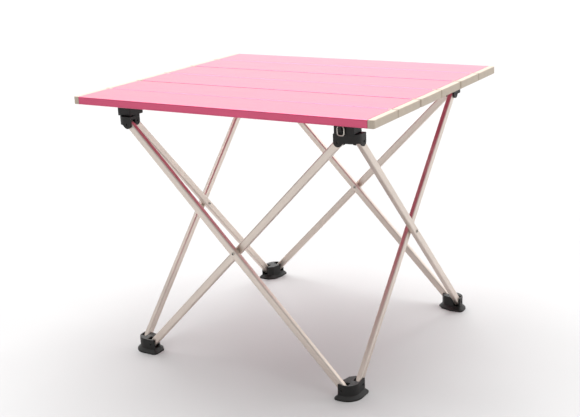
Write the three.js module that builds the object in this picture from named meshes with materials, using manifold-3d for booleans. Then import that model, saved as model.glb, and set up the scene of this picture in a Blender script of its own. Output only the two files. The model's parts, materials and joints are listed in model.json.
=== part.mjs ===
// Folding side table: a slatted top in three folding sections, on a square scissor frame.
// Millimetres, +Z up. The origin is on the floor under the middle of the top.
// X runs along the slats, and the front of the table faces -Y.
import * as THREE from "three";
import { mergeVertices } from "three/addons/utils/BufferGeometryUtils.js";
import Module from "manifold-3d";

const wasm = await Module();
wasm.setup();

// ------------------------------------------------------------------ driving dimensions

// The top.
const topLength = 395; // along X
const topDepth = 345; // along Y
const tableHeight = 325; // floor to the face of the slats
const slabThickness = 9.2;
const sectionGap = 2; // open gap between two sections
const slatGap = 0.6; // seam between the two slats of a section
const slatWall = 1.2;
const slatEdgeRadius = 0.9;
const touchGap = 0.3; // left between pieces that rest on each other

// The end caps, one moulding for each end of each section.
const capThickness = 7.4; // how far a cap stands out past the slats
const capCornerRadius = 2.2;
const capTongueLength = 14;
const capTongueGap = 0.3; // round each tongue in its slat
const capGrooveDepth = 1.5; // the V in line with the slat seam, on the cap's side and top

// The elastic cord that ties the sections together.
const cordRadius = 1.2;
const cordClearance = 0.4; // radial, in the caps
const cordKnotDepth = 24; // plastic left at the closed end of an outer cap's bore

// The scissor frame.
const frameShiftX = 7; // the frame stands this far to the right of the top's middle
const frameInset = 35.5; // front edge of the top to the pins of the front corners
const planeInset = 13.7; // pins stand this far inside the corner where two panels cross
const legWidth = 9.4; // in the plane of a panel
const legThickness = 6.8;
const legWall = 1;
const legEdgeRadius = 2;
const spacerThickness = 1.6; // between the two crossing legs
const spacerRadius = 3.6;

// Pins and rivets.
const pinRadius = 1.3;
const pinClearance = 0.2; // radial, in every hole that a pin passes through
const pinRecess = 0.8; // pin ends sit this far inside the plastic
const rivetHeadRadius = 2.3;
const rivetHeadHeight = 0.5;
const rivetBore = 0.6;

// The corner mouldings.
const slotClearance = 0.3; // each side of a leg
const blockWall = 2; // plastic on each side of a slot
const lobeWall = 0.6; // how far the lobe round a pin stands out past the leg's rounded end
const swingClearance = 0.8; // round the leg's rounded end as it turns
const hubRoof = 3.5; // plastic over the slots
const hubArmHeight = 9.8; // between the lobes
const hubCornerRadius = 11;
const footFloor = 6; // plastic under the slots
const footRimRise = 6.1; // rim above the pins
const footCornerRadius = 14;
const footFlangeReach = 4;
const footFlangeThickness = 1.6;
const footFlare = 3.4; // height of the slope from the flange up to the wall
const footSlotEndWall = 0.9; // plastic between a slot's far corner and the rounded outside
const footElbowX = 5.3; // the blunt inside of a foot, from the ends of its arms
const footElbowY = 3;

// The clips under the top, and their wire rings.
const clipOverhang = 3.6; // a clip's outer corner stops this far short of the hub's outer face
const clipHeight = 12.8;
const clipDepth = 18.4;
const clipLength = 24.3;
const clipChamfer = 2.2;
const wireRadius = 0.8;
const ringWidth = 9.3;
const ringHeight = 11.4;
const ringBendRadius = 3.2;
const ringPivotInset = 4; // ring's pivot below the clip's top
const ringFaceGap = 0.9; // between the ring and the clip's face
const ringOffset = 5.3; // ring centre from the pin, towards the corner
const keeperSideGap = 1.15; // between the keeper and each side of the ring
const keeperWireGap = 0.5; // radial, round the wire
const keeperWall = 1; // plastic round the wire's bore
const keeperRootHeight = 4; // above the ring's bottom
const keeperRootDepth = 1.2;
const keeperEdgeRadius = 0.8;
const clipRivetRadius = 1.7;
const clipRivetHeadRadius = 3;
const clipRivetInset = 5;
const clipRivetHeadSeat = 6; // the rivet's head sits this far up inside the clip

// ------------------------------------------------------------------ sizes worked out from them

const slabBottom = tableHeight - slabThickness;
const slabMiddle = tableHeight - slabThickness / 2;
const sectionDepth = (topDepth - 2 * sectionGap) / 3;
const slatWidth = (sectionDepth - slatGap) / 2;
const slatLength = topLength - 2 * (capThickness + touchGap);

const cordX = (topLength - capThickness) / 2;
const cordBoreRadius = cordRadius + cordClearance;

const swingRadius = legWidth / 2 + swingClearance;
const lobeRadius = legWidth / 2 + lobeWall;
const clipTop = slabBottom - touchGap;
const clipBottom = clipTop - clipHeight;
const hubTop = clipBottom - touchGap;
const hubPinHeight = hubTop - hubRoof - swingRadius;
const hubArch = hubTop - hubArmHeight; // underside of a hub between its lobes
const footPinHeight = footFloor + swingRadius;
const footRim = footPinHeight + footRimRise;

const pinHalfSpan = topDepth / 2 - frameInset; // middle of the frame to a hub or foot pin
const panelPlane = pinHalfSpan + planeInset;
const planeOffset = (legThickness + spacerThickness) / 2;
const outerPlane = panelPlane + planeOffset; // middle of the outer legs
const innerPlane = panelPlane - planeOffset; // middle of the inner legs
const legRise = hubPinHeight - footPinHeight;
const legPinLength = Math.hypot(2 * pinHalfSpan, legRise);
const legAngle = Math.atan2(legRise, 2 * pinHalfSpan);
const crossHeight = (hubPinHeight + footPinHeight) / 2;

const slotHalf = legThickness / 2 + slotClearance;
const armHalf = slotHalf + blockWall;
const armEnd = pinHalfSpan - lobeRadius;
const outerFace = outerPlane + armHalf;
const innerFace = innerPlane + armHalf;

// A foot's slots run on past the leg's end until their far corner nears the rounded outer wall.
const footSlotSide = footCornerRadius - blockWall; // slot's outer side from the round's centre
const footSlotReach = footCornerRadius - footSlotEndWall;
const footSlotEnd = Math.max(
  innerFace - footCornerRadius + Math.sqrt(footSlotReach ** 2 - footSlotSide ** 2),
  pinHalfSpan + swingRadius,
);

const clipOuterX = innerFace + touchGap;
const clipOuterY = outerFace - clipOverhang;
const keeperWidth = ringWidth - 2 * (2 * wireRadius + keeperSideGap);
const keeperBoreRadius = wireRadius + keeperWireGap;
const ringPlane = clipOuterX + ringFaceGap + wireRadius;
const ringCentreY = pinHalfSpan + ringOffset;
const ringPivotHeight = clipTop - ringPivotInset;
const ringBottom = ringPivotHeight + wireRadius - ringHeight;

// ------------------------------------------------------------------ materials

function finish(color, roughness, metalness) {
  return () => new THREE.MeshStandardMaterial({ color, roughness, metalness });
}
const pinkAnodised = finish(0xf47fa6, 0.42, 0.6);
const creamPlastic = finish(0xd9cdb8, 0.55, 0);
const champagneAluminium = finish(0xc9bdb2, 0.38, 0.85);
const blackPlastic = finish(0x262524, 0.6, 0);
const brightSteel = finish(0xa8a39c, 0.3, 0.95);
const blackenedSteel = finish(0x3a3836, 0.5, 0.8);
const creamElastic = finish(0xe8e2d6, 0.9, 0);

// ------------------------------------------------------------------ solid helpers

// A three.js geometry as a manifold-3d solid.
function solid(geometry) {
  const bare = geometry.index ? geometry.toNonIndexed() : geometry.clone();
  bare.deleteAttribute("normal");
  bare.deleteAttribute("uv");
  const merged = mergeVertices(bare, 1e-4);
  const triVerts = new Uint32Array(merged.index.array);
  const vertProperties = merged.attributes.position.array;
  return new wasm.Manifold(new wasm.Mesh({ numProp: 3, vertProperties, triVerts }));
}

// A solid as a named mesh with its own material.
function piece(name, body, material) {
  const { vertProperties, triVerts } = body.getMesh();
  const geometry = new THREE.BufferGeometry();
  geometry.setAttribute("position", new THREE.Float32BufferAttribute(vertProperties, 3));
  geometry.setIndex(Array.from(triVerts));
  geometry.computeVertexNormals();
  const mesh = new THREE.Mesh(geometry, material());
  mesh.name = name;
  return mesh;
}

function box(x0, x1, y0, y1, z0, z1) {
  const geometry = new THREE.BoxGeometry(x1 - x0, y1 - y0, z1 - z0);
  geometry.translate((x0 + x1) / 2, (y0 + y1) / 2, (z0 + z1) / 2);
  return solid(geometry);
}

// Outlines for the prisms are drawn in the plane that each one is square to:
// (Y, Z) for a prism along X, (X, Z) along Y and (X, Y) along Z.
const X = new THREE.Vector3(1, 0, 0);
const Y = new THREE.Vector3(0, 1, 0);
const Z = new THREE.Vector3(0, 0, 1);

function extrude(shape, depth, curveSegments) {
  return new THREE.ExtrudeGeometry(shape, { depth, curveSegments, bevelEnabled: false });
}

function prismX(shape, x0, x1, curveSegments = 2) {
  const turn = new THREE.Matrix4().makeBasis(Y, Z, X);
  return solid(extrude(shape, x1 - x0, curveSegments).applyMatrix4(turn).translate(x0, 0, 0));
}

function prismY(shape, y0, y1, curveSegments = 2) {
  const turn = new THREE.Matrix4().makeBasis(X, Z, Y.clone().negate());
  return solid(extrude(shape, y1 - y0, curveSegments).applyMatrix4(turn).translate(0, y1, 0));
}

function prismZ(shape, z0, z1, curveSegments = 2) {
  return solid(extrude(shape, z1 - z0, curveSegments).translate(0, 0, z0));
}

function rodX(radius, x0, x1, y, z, sides = 10) {
  const geometry = new THREE.CylinderGeometry(radius, radius, x1 - x0, sides);
  return solid(geometry.rotateZ(-Math.PI / 2).translate((x0 + x1) / 2, y, z));
}

function rodY(radius, y0, y1, x, z, sides = 10) {
  const geometry = new THREE.CylinderGeometry(radius, radius, y1 - y0, sides);
  return solid(geometry.translate(x, (y0 + y1) / 2, z));
}

function rodZ(radius, z0, z1, x, y, sides = 10) {
  const geometry = new THREE.CylinderGeometry(radius, radius, z1 - z0, sides);
  return solid(geometry.rotateX(Math.PI / 2).translate(x, y, (z0 + z1) / 2));
}

// A closed outline through the given points, each with a corner radius (0 for a sharp one).
function outline(corners, Kind = THREE.Shape) {
  const path = new Kind();
  corners.forEach(([x, y, radius], i) => {
    const here = new THREE.Vector2(x, y);
    const before = new THREE.Vector2(...corners.at(i - 1)).sub(here).normalize();
    const after = new THREE.Vector2(...corners[(i + 1) % corners.length]).sub(here).normalize();
    const half = Math.acos(THREE.MathUtils.clamp(before.dot(after), -1, 1)) / 2;
    const reach = radius / Math.tan(half);
    const start = here.clone().addScaledVector(before, reach);
    const end = here.clone().addScaledVector(after, reach);
    if (i === 0) path.moveTo(start.x, start.y);
    else path.lineTo(start.x, start.y);
    if (radius > 0) {
      const inward = before.clone().add(after).normalize();
      const centre = here.clone().addScaledVector(inward, radius / Math.sin(half));
      const from = start.sub(centre).angle();
      const to = end.sub(centre).angle();
      path.absarc(centre.x, centre.y, radius, from, to, before.cross(after) > 0);
    }
  });
  path.closePath();
  return path;
}

function rectangle(x0, x1, y0, y1, radius = 0, Kind = THREE.Shape) {
  return outline([[x0, y0, radius], [x1, y0, radius], [x1, y1, radius], [x0, y1, radius]], Kind);
}

// ------------------------------------------------------------------ the top

// The two hollow cells of a slat, as ranges along Y from the slat's middle.
const slatCells = [
  [-slatWidth / 2 + slatWall, -slatWall / 2],
  [slatWall / 2, slatWidth / 2 - slatWall],
];

// The middles of a section's two slats, along Y from the section's middle.
const slatCentres = [-1, 1].map((side) => (side * (slatWidth + slatGap)) / 2);

// A hollow extrusion with a web down its middle, its own middle at y = 0.
function slatSolid() {
  const end = slatLength / 2;
  const section = rectangle(-slatWidth / 2, slatWidth / 2, slabBottom, tableHeight, slatEdgeRadius);
  let slat = prismX(section, -end, end);
  for (const [y0, y1] of slatCells) {
    slat = slat.subtract(box(-end - 1, end + 1, y0, y1, slabBottom + slatWall, tableHeight - slatWall));
  }
  return slat;
}

const capOuterX = topLength / 2;
const capInnerX = capOuterX - capThickness;

// The bar of a right-hand cap, with rounded corners and edges.
function capBar(yEnd) {
  const plan = outline([
    [capInnerX, -yEnd, 0],
    [capOuterX, -yEnd, capCornerRadius],
    [capOuterX, yEnd, capCornerRadius],
    [capInnerX, yEnd, 0],
  ]);
  const side = outline([
    [capInnerX - 1, slabBottom, 0],
    [capOuterX, slabBottom, slatEdgeRadius],
    [capOuterX, tableHeight, slatEdgeRadius],
    [capInnerX - 1, tableHeight, 0],
  ]);
  return prismZ(plan, slabBottom, tableHeight, 3).intersect(prismY(side, -yEnd - 1, yEnd + 1));
}

// A V in line with the slat seam, down the bar's side and across its top.
function cutCapGrooves(cap) {
  const corners = (edge) => [
    [edge + capGrooveDepth, -2 * capGrooveDepth],
    [edge + capGrooveDepth, 2 * capGrooveDepth],
    [edge - capGrooveDepth, 0],
  ];
  const sideGroove = outline(corners(capOuterX).map(([x, y]) => [x, y, 0]));
  const topGroove = outline(corners(tableHeight).map(([z, y]) => [y, z, 0]));
  return cap
    .subtract(prismZ(sideGroove, slabBottom - 1, tableHeight + 1))
    .subtract(prismX(topGroove, capInnerX - 1, capOuterX + 1));
}

// A tongue for each cell of the two slats that the cap closes.
function addCapTongues(cap) {
  const reach = slatWall + capTongueGap;
  for (const slatY of slatCentres) {
    for (const [y0, y1] of slatCells) {
      const tongue = box(
        capInnerX - capTongueLength, capInnerX + 1,
        slatY + y0 + capTongueGap, slatY + y1 - capTongueGap,
        slabBottom + reach, tableHeight - reach,
      );
      cap = cap.add(tongue);
    }
  }
  return cap;
}

// The cap for the right-hand end of a section whose middle is at y = 0. Its bore for the cord runs
// from boreStart to boreEnd, so an outer section's cap can be closed at one end.
function capSolid(boreStart, boreEnd) {
  const bar = cutCapGrooves(capBar(sectionDepth / 2));
  return addCapTongues(bar.subtract(rodY(cordBoreRadius, boreStart, boreEnd, cordX, slabMiddle)));
}

const sections = [
  { name: "front", y: -(sectionDepth + sectionGap) },
  { name: "middle", y: 0 },
  { name: "back", y: sectionDepth + sectionGap },
];

// The stretch of elastic cord that runs through a middle cap and bridges both gaps.
function cordSolid() {
  const reach = sectionDepth / 2 + sectionGap - touchGap;
  return rodY(cordRadius, -reach, reach, cordX, slabMiddle, 10);
}

function makeTop() {
  const top = new THREE.Group();
  const slat = slatSolid();
  const past = sectionDepth / 2 + 1;
  const through = capSolid(-past, past);
  const closedFront = capSolid(cordKnotDepth - sectionDepth / 2, past);
  const closedBack = capSolid(-past, sectionDepth / 2 - cordKnotDepth);
  // A left-hand cap is a right-hand one turned half round, which swaps its ends.
  const caps = { front: [closedFront, closedBack], middle: [through, through] };
  caps.back = caps.front.toReversed();
  sections.forEach(({ name, y }, i) => {
    const section = new THREE.Group();
    section.position.y = y;
    slatCentres.forEach((slatY, j) => {
      const mesh = piece(`slat_${2 * i + j + 1}`, slat, pinkAnodised);
      mesh.position.y = slatY;
      section.add(mesh);
    });
    const right = piece(`end_cap_right_${name}`, caps[name][0], creamPlastic);
    const left = piece(`end_cap_left_${name}`, caps[name][1], creamPlastic);
    left.rotation.z = Math.PI;
    section.add(right, left);
    top.add(section);
  });
  const cord = cordSolid();
  const rightCord = piece("elastic_cord_right", cord, creamElastic);
  const leftCord = piece("elastic_cord_left", cord, creamElastic);
  leftCord.rotation.z = Math.PI;
  top.add(rightCord, leftCord);
  return top;
}

// ------------------------------------------------------------------ the legs

// A leg lies along X with its crossing rivet at the origin, and is turned to its slope later.
function legSolid() {
  const end = legPinLength / 2;
  const half = legThickness / 2;
  const halfWidth = legWidth / 2;
  const run = end + halfWidth;
  const tube = (inset) =>
    rectangle(-half + inset, half - inset, -halfWidth + inset, halfWidth - inset, legEdgeRadius - inset);
  let leg = prismX(tube(0), -run, run).subtract(prismX(tube(legWall), -run - 1, run + 1, 1));
  const rounded = rectangle(-run, run, -halfWidth - 0.01, halfWidth + 0.01, halfWidth - 0.01);
  leg = leg.intersect(prismY(rounded, -half - 1, half + 1, 3));
  for (const x of [-end, 0, end]) {
    leg = leg.subtract(rodY(pinRadius + pinClearance, -half - 1, half + 1, x, 0, 8));
  }
  return leg;
}

// A hollow rivet with a collar that keeps the two crossing legs apart. Its axis is Y and its
// collar's middle is the origin.
function crossRivetSolid() {
  const collar = spacerThickness / 2 - touchGap / 2;
  const face = spacerThickness / 2 + legThickness + touchGap / 2;
  const head = face + rivetHeadHeight;
  const profile = [
    [rivetBore, -head],
    [rivetHeadRadius, -head],
    [rivetHeadRadius, -face],
    [pinRadius, -face],
    [pinRadius, -collar],
    [spacerRadius, -collar],
    [spacerRadius, collar],
    [pinRadius, collar],
    [pinRadius, face],
    [rivetHeadRadius, face],
    [rivetHeadRadius, head],
    [rivetBore, head],
    [rivetBore, -head],
  ];
  return solid(new THREE.LatheGeometry(profile.map(([x, y]) => new THREE.Vector2(x, y)), 10));
}

// Each panel is made as the front one and turned about Z. The outer leg runs from the panel's
// left hub down to its right foot, and the inner leg from its right hub to its left foot.
const panels = ["front", "right", "back", "left"];

function makeLegs() {
  const legs = new THREE.Group();
  const leg = legSolid();
  const rivet = crossRivetSolid();
  panels.forEach((name, i) => {
    const panel = new THREE.Group();
    panel.rotation.z = (i * Math.PI) / 2;
    const outer = piece(`leg_${name}_outer`, leg, champagneAluminium);
    outer.position.set(0, -outerPlane, crossHeight);
    outer.rotation.y = legAngle;
    const inner = piece(`leg_${name}_inner`, leg, champagneAluminium);
    inner.position.set(0, -innerPlane, crossHeight);
    inner.rotation.y = -legAngle;
    const cross = piece(`cross_rivet_${name}`, rivet, brightSteel);
    cross.position.set(0, -panelPlane, crossHeight);
    panel.add(outer, inner, cross);
    legs.add(panel);
  });
  return legs;
}

// ------------------------------------------------------------------ the corner mouldings

// Corner pieces are made for the back right corner, where both outward directions are positive,
// and turned about Z for the others. There a hub holds the inner leg of the right panel and the
// outer leg of the back panel, and a foot holds the outer leg of the right panel and the inner
// leg of the back panel.

// A hub arm seen from its side: a lobe round the pin, then an arch up to the corner.
function hubArmOutline(far) {
  const arm = new THREE.Shape();
  const lobeEnd = lobeRadius * Math.SQRT1_2;
  const slope = hubArch - (hubPinHeight - lobeEnd);
  arm.moveTo(armEnd, hubTop);
  arm.lineTo(armEnd, hubPinHeight);
  arm.absarc(pinHalfSpan, hubPinHeight, lobeRadius, Math.PI, 1.75 * Math.PI, false);
  arm.lineTo(pinHalfSpan + lobeEnd + slope, hubArch);
  arm.lineTo(far, hubArch);
  arm.lineTo(far, hubTop);
  arm.closePath();
  return arm;
}

function hubSolid() {
  const armX = prismX(hubArmOutline(outerFace), innerPlane - armHalf, innerFace, 3);
  const armY = prismY(hubArmOutline(innerFace), outerPlane - armHalf, outerFace, 3);
  const plan = outline([
    [armEnd, armEnd, 0],
    [innerFace, armEnd, 1],
    [innerFace, outerFace, hubCornerRadius],
    [armEnd, outerFace, 1],
  ]);
  const below = hubPinHeight - lobeRadius - 1;
  let hub = armX.add(armY).intersect(prismZ(plan, below, hubTop, 4));
  const slotEnd = pinHalfSpan + swingRadius;
  const slotRoof = hubPinHeight + swingRadius;
  const slotX = [innerPlane - slotHalf, innerPlane + slotHalf];
  const slotY = [outerPlane - slotHalf, outerPlane + slotHalf];
  hub = hub.subtract(box(...slotX, armEnd - 1, slotEnd, below, slotRoof));
  hub = hub.subtract(box(armEnd - 1, slotEnd, ...slotY, below, slotRoof));
  const hole = pinRadius + pinClearance;
  hub = hub.subtract(rodX(hole, innerPlane - armHalf - 1, innerFace + 1, pinHalfSpan, hubPinHeight));
  hub = hub.subtract(rodY(hole, outerPlane - armHalf - 1, outerFace + 1, pinHalfSpan, hubPinHeight));
  return hub;
}

// The wall outline of a foot: two arms round the slots, a wide outer corner and a blunt inside.
function footOutline() {
  return outline([
    [armEnd, innerPlane - armHalf, 0],
    [armEnd + footElbowX, armEnd + footElbowY, 0],
    [outerPlane - armHalf, armEnd, 0],
    [outerFace, armEnd, 1],
    [outerFace, innerFace, footCornerRadius],
    [armEnd, innerFace, 1],
  ]);
}

function footSolid() {
  const walls = prismZ(footOutline(), 0, footRim, 4);
  const skirt = new THREE.ExtrudeGeometry(footOutline(), {
    depth: footFlangeThickness,
    bevelThickness: footFlare,
    bevelSize: footFlangeReach,
    bevelSegments: 1,
    curveSegments: 4,
  });
  const aboveFloor = box(0, 2 * outerFace, 0, 2 * outerFace, 0, footRim);
  let foot = walls.add(solid(skirt).intersect(aboveFloor));
  const outerSlot = [outerPlane - slotHalf, outerPlane + slotHalf];
  const innerSlot = [innerPlane - slotHalf, innerPlane + slotHalf];
  const slotStart = armEnd - footFlangeReach - 1;
  const above = footRim + 1;
  foot = foot.subtract(box(...outerSlot, slotStart, footSlotEnd, footFloor, above));
  foot = foot.subtract(box(slotStart, footSlotEnd, ...innerSlot, footFloor, above));
  const hole = pinRadius + pinClearance;
  foot = foot.subtract(rodX(hole, armEnd, outerFace + 1, pinHalfSpan, footPinHeight));
  foot = foot.subtract(rodY(hole, armEnd, innerFace + 1, pinHalfSpan, footPinHeight));
  return foot;
}

// The pins lie square to their panel, one through each slot.
function addPins(corner, kind, cornerName, planeX, planeY, height) {
  const reach = armHalf - pinRecess;
  const pinX = rodX(pinRadius, planeX - reach, planeX + reach, pinHalfSpan, height);
  const pinY = rodY(pinRadius, planeY - reach, planeY + reach, pinHalfSpan, height);
  const names = planeX === innerPlane ? ["inner", "outer"] : ["outer", "inner"];
  corner.add(piece(`${kind}_pin_${cornerName}_${names[0]}`, pinX, blackenedSteel));
  corner.add(piece(`${kind}_pin_${cornerName}_${names[1]}`, pinY, blackenedSteel));
}

// ------------------------------------------------------------------ the clips and wire rings

// A block riveted under the top that stands on the hub, with a keeper that holds the ring.
function clipSolid() {
  const x0 = clipOuterX - clipDepth;
  const y0 = clipOuterY - clipLength;
  const plan = outline([
    [x0, y0, 1],
    [clipOuterX, y0, 1],
    [clipOuterX, clipOuterY, 2],
    [x0, clipOuterY, 1],
  ]);
  let clip = prismZ(plan, clipBottom, clipTop);
  const chamfer = outline([
    [clipOuterY - clipChamfer, clipBottom - 0.1, 0],
    [clipOuterY + 0.1, clipBottom - 0.1, 0],
    [clipOuterY + 0.1, clipBottom + clipChamfer, 0],
  ]);
  clip = clip.subtract(prismX(chamfer, x0 - 1, clipOuterX + 1));
  const keeperY = [ringCentreY - keeperWidth / 2, ringCentreY + keeperWidth / 2];
  const keeperReach = keeperBoreRadius + keeperWall;
  const keeperOut = ringPlane + keeperReach;
  const keeperRoot = ringBottom + keeperRootHeight;
  const keeper = outline([
    [clipOuterX - 1, keeperRoot, 0],
    [clipOuterX + keeperRootDepth, keeperRoot, 0],
    [keeperOut, ringPivotHeight - keeperReach, 0],
    [keeperOut, ringPivotHeight + keeperReach, keeperEdgeRadius],
    [clipOuterX - 1, ringPivotHeight + keeperReach, 0],
  ]);
  clip = clip.add(prismY(keeper, ...keeperY));
  clip = clip.subtract(rodY(keeperBoreRadius, keeperY[0] - 1, keeperY[1] + 1, ringPlane, ringPivotHeight));
  for (const y of [y0 + clipRivetInset, clipOuterY - clipRivetInset]) {
    const x = clipOuterX - clipDepth / 2;
    const seat = clipBottom + clipRivetHeadSeat;
    clip = clip.subtract(rodZ(clipRivetRadius, clipBottom - 1, clipTop + 1, x, y, 8));
    clip = clip.subtract(rodZ(clipRivetHeadRadius, clipBottom - 1, seat, x, y, 8));
  }
  return clip;
}

// A closed loop of wire that hangs in front of the clip, with bevelled edges.
function ringSolid() {
  const bevel = 0.4;
  const loop = (inset, Kind) =>
    rectangle(
      ringCentreY - ringWidth / 2 + inset, ringCentreY + ringWidth / 2 - inset,
      ringBottom + inset, ringBottom + ringHeight - inset,
      ringBendRadius - inset, Kind,
    );
  const shape = loop(bevel, THREE.Shape);
  shape.holes.push(loop(2 * wireRadius - bevel, THREE.Path));
  const geometry = new THREE.ExtrudeGeometry(shape, {
    depth: 2 * (wireRadius - bevel),
    bevelThickness: bevel,
    bevelSize: bevel,
    bevelSegments: 1,
    curveSegments: 2,
  });
  const turn = new THREE.Matrix4().makeBasis(Y, Z, X);
  return solid(geometry.applyMatrix4(turn).translate(ringPlane - wireRadius + bevel, 0, 0));
}

const corners = ["back_right", "back_left", "front_left", "front_right"];

function makeCorners() {
  const group = new THREE.Group();
  const hub = hubSolid();
  const foot = footSolid();
  const clip = clipSolid();
  const ring = ringSolid();
  corners.forEach((name, i) => {
    const corner = new THREE.Group();
    corner.rotation.z = (i * Math.PI) / 2;
    corner.add(piece(`hub_${name}`, hub, blackPlastic));
    corner.add(piece(`foot_${name}`, foot, blackPlastic));
    corner.add(piece(`top_clip_${name}`, clip, blackPlastic));
    corner.add(piece(`wire_ring_${name}`, ring, brightSteel));
    addPins(corner, "hub", name, innerPlane, outerPlane, hubPinHeight);
    addPins(corner, "foot", name, outerPlane, innerPlane, footPinHeight);
    group.add(corner);
  });
  return group;
}

// ------------------------------------------------------------------ the whole table

const frame = new THREE.Group();
frame.position.x = frameShiftX;
frame.add(makeLegs(), makeCorners());

const table = new THREE.Group();
table.add(makeTop(), frame);

export default table;
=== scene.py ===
"""The looks of a folding side table: a pink slatted top on a square scissor frame.

Everything is in metres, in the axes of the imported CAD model: X along the slats, -Y the front of
the table, Z up from the floor. Corner pieces are shaped once for the back right corner, round
the middle of the frame, and turned into the other three corners.
"""

import json
import logging
import math
from collections.abc import Callable, Iterator, Sequence
from contextlib import contextmanager
from dataclasses import dataclass
from enum import Enum
from functools import cache

import bpy
from mathutils import Matrix, Vector


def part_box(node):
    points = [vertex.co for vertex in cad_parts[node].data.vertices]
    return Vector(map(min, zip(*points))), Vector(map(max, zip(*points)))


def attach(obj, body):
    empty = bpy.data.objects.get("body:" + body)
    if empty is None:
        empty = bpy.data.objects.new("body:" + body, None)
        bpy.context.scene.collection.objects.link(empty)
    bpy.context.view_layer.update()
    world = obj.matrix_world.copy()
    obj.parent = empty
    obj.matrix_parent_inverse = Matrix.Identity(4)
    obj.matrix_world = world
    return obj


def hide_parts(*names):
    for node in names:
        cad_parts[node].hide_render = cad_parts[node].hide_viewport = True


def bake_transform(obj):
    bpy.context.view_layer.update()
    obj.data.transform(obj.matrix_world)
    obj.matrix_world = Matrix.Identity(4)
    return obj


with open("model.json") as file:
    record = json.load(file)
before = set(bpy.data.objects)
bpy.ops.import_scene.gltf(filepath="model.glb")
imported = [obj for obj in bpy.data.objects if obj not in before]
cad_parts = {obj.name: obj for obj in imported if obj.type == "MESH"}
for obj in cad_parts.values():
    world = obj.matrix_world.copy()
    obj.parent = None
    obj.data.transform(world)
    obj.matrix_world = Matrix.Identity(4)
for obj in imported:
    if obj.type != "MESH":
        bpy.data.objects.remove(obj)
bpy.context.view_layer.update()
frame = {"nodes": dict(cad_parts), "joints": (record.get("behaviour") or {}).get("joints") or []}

MM = 0.001  # a millimetre, and how far most cutters reach past what they cut
NEAR = MM / 10  # how close to a surface counts as on it
ALONG = 0.9  # the least share of a direction that counts as along an axis
WELD = 0.002 * MM  # points closer than this are merged
FLAT = math.radians(0.5)  # faces that meet at less than this become one
SHARP = math.radians(35)  # edges that turn by more than this are softened
CREASE = math.radians(38)  # edges that turn by more than this are shaded as creases
ROUND_CREASE = math.radians(60)  # the same for wire and cord
log = logging.getLogger("table")

Piece = bpy.types.Object
Socket = bpy.types.NodeSocket
Triple = tuple[float, float, float]


# ---------------------------------------------------------------- places taken from the frame


@dataclass(frozen=True)
class Box:
    """An upright box.

    Attributes:
        lo: Its lowest corner.
        hi: Its highest corner.
    """

    lo: Vector
    hi: Vector

    @classmethod
    def of(cls, node: str, origin: Vector | None = None) -> "Box":
        """The box of a CAD node.

        Args:
            node: The node's name.
            origin: The point that the box is measured from, or None for the model's own.

        Returns:
            The node's box.
        """
        lo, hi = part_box(node)
        start = origin or Vector((0, 0, 0))
        return cls(lo - start, hi - start)

    @property
    def mid(self) -> Vector:
        """The middle of the box."""
        return (self.lo + self.hi) / 2

    @property
    def size(self) -> Vector:
        """The box's three edge lengths."""
        return self.hi - self.lo


def joint_point(name: str, origin: Vector) -> Vector:
    """Where a joint of the record turns at rest, measured from a point."""
    joint = next(j for j in frame["joints"] if j["name"] == name)
    return Vector(joint["pos_m"]) - origin


def frame_middle() -> Vector:
    """The point on the floor under the middle of the scissor frame."""
    across = Box.of("leg_front_outer").mid.x
    along = Box.of("leg_right_outer").mid.y
    return Vector((across, along, 0))


class QuarterTurns(Enum):
    """Places round the frame, by quarter turns from the first one."""

    @property
    def label(self) -> str:
        """The place's name as the CAD nodes write it."""
        return self.name.lower()

    def turn(self, middle: Vector) -> Matrix:
        """The matrix that takes a piece from the first place to this one."""
        return Matrix.Translation(middle) @ Matrix.Rotation(self.value * math.pi / 2, 4, "Z")


class Panel(QuarterTurns):
    """The four pairs of crossing legs, by quarter turns from the front one."""

    FRONT = 0
    RIGHT = 1
    BACK = 2
    LEFT = 3


class Corner(QuarterTurns):
    """The four corners of the frame, by quarter turns from the back right one."""

    BACK_RIGHT = 0
    BACK_LEFT = 1
    FRONT_LEFT = 2
    FRONT_RIGHT = 3

    @property
    def section(self) -> str:
        """The body of the folding section that this corner's clip is fixed to."""
        return "top_back" if self.label.startswith("back") else "top_front"


# ---------------------------------------------------------------- shaping


def only(obj: Piece) -> None:
    """Makes an object the only selected one, and the active one."""
    bpy.ops.object.select_all(action="DESELECT")
    obj.select_set(True)
    bpy.context.view_layer.objects.active = obj


def settle(obj: Piece) -> Piece:
    """Puts an object's place, turn and size into its mesh.

    Args:
        obj: The object.

    Returns:
        The same object, now at the origin.
    """
    only(obj)
    bpy.ops.object.transform_apply(location=True, rotation=True, scale=True)
    return obj


def block(name: str, corner: Sequence[float], opposite: Sequence[float]) -> Piece:
    """A plain box to shape further.

    Args:
        name: The new object's name.
        corner: One of its corners.
        opposite: The corner farthest from that one.

    Returns:
        The new object.
    """
    pairs = list(zip(corner, opposite))
    lo = Vector([min(pair) for pair in pairs])
    hi = Vector([max(pair) for pair in pairs])
    bpy.ops.object.select_all(action="DESELECT")
    bpy.ops.mesh.primitive_cube_add(size=1, location=(lo + hi) / 2)
    obj = bpy.context.object
    obj.name = name
    obj.scale = hi - lo
    return settle(obj)


def rod(
    name: str, start: Sequence[float], end: Sequence[float], radius: float, sides: int = 24
) -> Piece:
    """A plain round rod to shape further.

    Args:
        name: The new object's name.
        start: The middle of one end.
        end: The middle of the other end.
        radius: Its radius.
        sides: How many flats its round has.

    Returns:
        The new object.
    """
    start, end = Vector(start), Vector(end)
    run = end - start
    bpy.ops.object.select_all(action="DESELECT")
    bpy.ops.mesh.primitive_cylinder_add(
        vertices=sides,
        radius=radius,
        depth=run.length,
        location=(start + end) / 2,
        rotation=run.to_track_quat("Z", "Y").to_euler(),
    )
    obj = bpy.context.object
    obj.name = name
    return settle(obj)


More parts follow.
